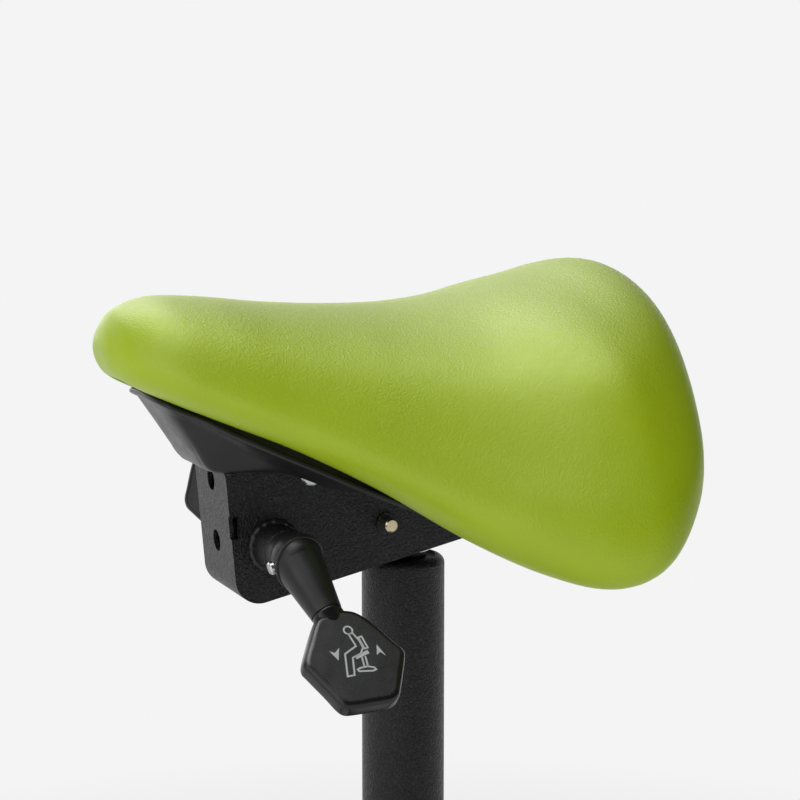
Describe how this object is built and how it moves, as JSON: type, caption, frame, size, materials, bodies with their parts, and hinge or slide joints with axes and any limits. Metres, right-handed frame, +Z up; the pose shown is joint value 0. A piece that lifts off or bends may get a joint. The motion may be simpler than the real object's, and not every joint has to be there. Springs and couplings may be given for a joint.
{
  "type": "stool",
  "caption": "Saddle stool with an upholstered saddle seat on a pan, tilting on a lever-locked mechanism over a gas-spring column with a star base on twin-wheel casters.",
  "frame": {"origin": "on the floor, under the column's axis", "axes": "+X to the sitter's left, +Y to the rear of the seat (its narrow nose points to -Y), +Z up"},
  "size_m": [0.5794, 0.5623, 0.5545],
  "materials": {
    "green_vinyl": "matte fine-grained upholstery vinyl",
    "black_powder_coat": "coarse powder coat, satin",
    "black_plastic": "fine moulded grain",
    "caster_tread": "smooth nylon",
    "gloss_black_plastic": "semi-gloss moulded",
    "zinc_steel": "bright zinc plated",
    "chromed_steel": "polished",
    "yellow_zinc": "yellow passivated zinc",
    "piston_alloy": "machined",
    "black_rubber": "matte",
    "plywood": "raw",
    "bearing_plastic": "natural acetal",
    "friction_lining": "pressed fibre"
  },
  "bodies": {
    "base": {"star_base": "black_plastic", "hub_ring": "zinc_steel", "caster_stems": "zinc_steel", "column_tube": "black_powder_coat", "guide_bush": "black_plastic", "bearing_balls": "chromed_steel"},
    "rod": {"piston_rod": "chromed_steel", "piston": "piston_alloy", "bearing_washer": "zinc_steel", "rod_clip": "zinc_steel", "bump_stop": "black_rubber"},
    "lift": {"gas_cylinder": "black_powder_coat", "cylinder_seal": "black_rubber", "cone_socket": "zinc_steel", "mechanism_housing": "black_powder_coat", "pivot_pin": "zinc_steel", "clamp_spacer": "zinc_steel", "friction_discs": "friction_lining", "clamp_nut": "zinc_steel", "tilt_boss": "black_powder_coat", "height_boss": "black_powder_coat"},
    "seat": {"seat_bracket": "black_powder_coat", "pivot_bushes": "bearing_plastic", "seat_bolts": "zinc_steel", "seat_board": "plywood", "seat_pan": "black_plastic", "pan_screws": "zinc_steel", "seat_cushion": "green_vinyl"},
    "tilt_lever": {"tilt_shaft": "zinc_steel", "tilt_sleeve": "black_plastic", "tilt_paddle": "gloss_black_plastic", "tilt_screw": "zinc_steel"},
    "height_lever": {"height_axle": "yellow_zinc", "axle_clip": "black_powder_coat", "height_finger": "zinc_steel", "height_sleeve": "black_plastic", "height_paddle": "gloss_black_plastic", "height_screw": "zinc_steel"},
    "valve_pin": {"release_pin": "zinc_steel"},
    "caster_1": {"caster_hood_1": "black_plastic", "caster_axle_1": "zinc_steel"},
    "roller_left_1": {"wheel_left_1": "caster_tread"},
    "roller_right_1": {"wheel_right_1": "caster_tread"},
    "caster_2": {"caster_hood_2": "black_plastic", "caster_axle_2": "zinc_steel"},
    "roller_left_2": {"wheel_left_2": "caster_tread"},
    "roller_right_2": {"wheel_right_2": "caster_tread"},
    "caster_3": {"caster_hood_3": "black_plastic", "caster_axle_3": "zinc_steel"},
    "roller_left_3": {"wheel_left_3": "caster_tread"},
    "roller_right_3": {"wheel_right_3": "caster_tread"},
    "caster_4": {"caster_hood_4": "black_plastic", "caster_axle_4": "zinc_steel"},
    "roller_left_4": {"wheel_left_4": "caster_tread"},
    "roller_right_4": {"wheel_right_4": "caster_tread"},
    "caster_5": {"caster_hood_5": "black_plastic", "caster_axle_5": "zinc_steel"},
    "roller_left_5": {"wheel_left_5": "caster_tread"},
    "roller_right_5": {"wheel_right_5": "caster_tread"}
  },
  "joints": [
    {"name": "column_swivel", "type": "hinge", "parent": "base", "child": "rod", "pos_m": [0, 0, 0.1], "axis": [0, 0, 1], "continuous": true},
    {"name": "seat_height", "type": "slide", "parent": "rod", "child": "lift", "axis": [0, 0, 1], "range_m": [0, 0.195]},
    {"name": "seat_tilt", "type": "hinge", "parent": "lift", "child": "seat", "pos_m": [0, -0.0695, 0.4365], "axis": [1, 0, 0], "range_deg": [-5, 10]},
    {"name": "tilt_clamp", "type": "hinge", "parent": "lift", "child": "tilt_lever", "pos_m": [0, -0.0923, 0.396], "axis": [1, 0, 0], "range_deg": [-30, 30]},
    {"name": "height_release", "type": "hinge", "parent": "lift", "child": "height_lever", "pos_m": [0, -0.023, 0.404], "axis": [1, 0, 0], "range_deg": [-8, 0], "stiffness_Nm_per_rad": 0.5},
    {"name": "valve_press", "type": "slide", "parent": "lift", "child": "valve_pin", "axis": [0, 0, 1], "range_m": [-0.0033, 0]},
    {"name": "caster_swivel_1", "type": "hinge", "parent": "base", "child": "caster_1", "pos_m": [0, -0.27, 0.05], "axis": [0, 0, 1], "continuous": true},
    {"name": "wheel_spin_left_1", "type": "hinge", "parent": "caster_1", "child": "roller_left_1", "pos_m": [0.02, -0.27, 0.025], "axis": [0, -1, 0], "continuous": true},
    {"name": "wheel_spin_right_1", "type": "hinge", "parent": "caster_1", "child": "roller_right_1", "pos_m": [0.02, -0.27, 0.025], "axis": [0, -1, 0], "continuous": true},
    {"name": "caster_swivel_2", "type": "hinge", "parent": "base", "child": "caster_2", "pos_m": [0.25679, -0.08343, 0.05], "axis": [0, 0, 1], "continuous": true},
    {"name": "wheel_spin_left_2", "type": "hinge", "parent": "caster_2", "child": "roller_left_2", "pos_m": [0.26297, -0.06441, 0.025], "axis": [0.9511, -0.309, 0], "continuous": true},
    {"name": "wheel_spin_right_2", "type": "hinge", "parent": "caster_2", "child": "roller_right_2", "pos_m": [0.26297, -0.06441, 0.025], "axis": [0.9511, -0.309, 0], "continuous": true},
    {"name": "caster_swivel_3", "type": "hinge", "parent": "base", "child": "caster_3", "pos_m": [0.1587, 0.21843, 0.05], "axis": [0, 0, 1], "continuous": true},
    {"name": "wheel_spin_left_3", "type": "hinge", "parent": "caster_3", "child": "roller_left_3", "pos_m": [0.14252, 0.23019, 0.025], "axis": [0.5878, 0.809, 0], "continuous": true},
    {"name": "wheel_spin_right_3", "type": "hinge", "parent": "caster_3", "child": "roller_right_3", "pos_m": [0.14252, 0.23019, 0.025], "axis": [0.5878, 0.809, 0], "continuous": true},
    {"name": "caster_swivel_4", "type": "hinge", "parent": "base", "child": "caster_4", "pos_m": [-0.1587, 0.21843, 0.05], "axis": [0, 0, 1], "continuous": true},
    {"name": "wheel_spin_left_4", "type": "hinge", "parent": "caster_4", "child": "roller_left_4", "pos_m": [-0.17488, 0.20668, 0.025], "axis": [-0.5878, 0.809, 0], "continuous": true},
    {"name": "wheel_spin_right_4", "type": "hinge", "parent": "caster_4", "child": "roller_right_4", "pos_m": [-0.17488, 0.20668, 0.025], "axis": [-0.5878, 0.809, 0], "continuous": true},
    {"name": "caster_swivel_5", "type": "hinge", "parent": "base", "child": "caster_5", "pos_m": [-0.25679, -0.08343, 0.05], "axis": [0, 0, 1], "continuous": true},
    {"name": "wheel_spin_left_5", "type": "hinge", "parent": "caster_5", "child": "roller_left_5", "pos_m": [-0.2506, -0.10246, 0.025], "axis": [-0.9511, -0.309, 0], "continuous": true},
    {"name": "wheel_spin_right_5", "type": "hinge", "parent": "caster_5", "child": "roller_right_5", "pos_m": [-0.2506, -0.10246, 0.025], "axis": [-0.9511, -0.309, 0], "continuous": true}
  ],
  "couplings": [
    {"joint": "valve_press", "follows": "height_release", "m_per_rad": 0.023}
  ]
}
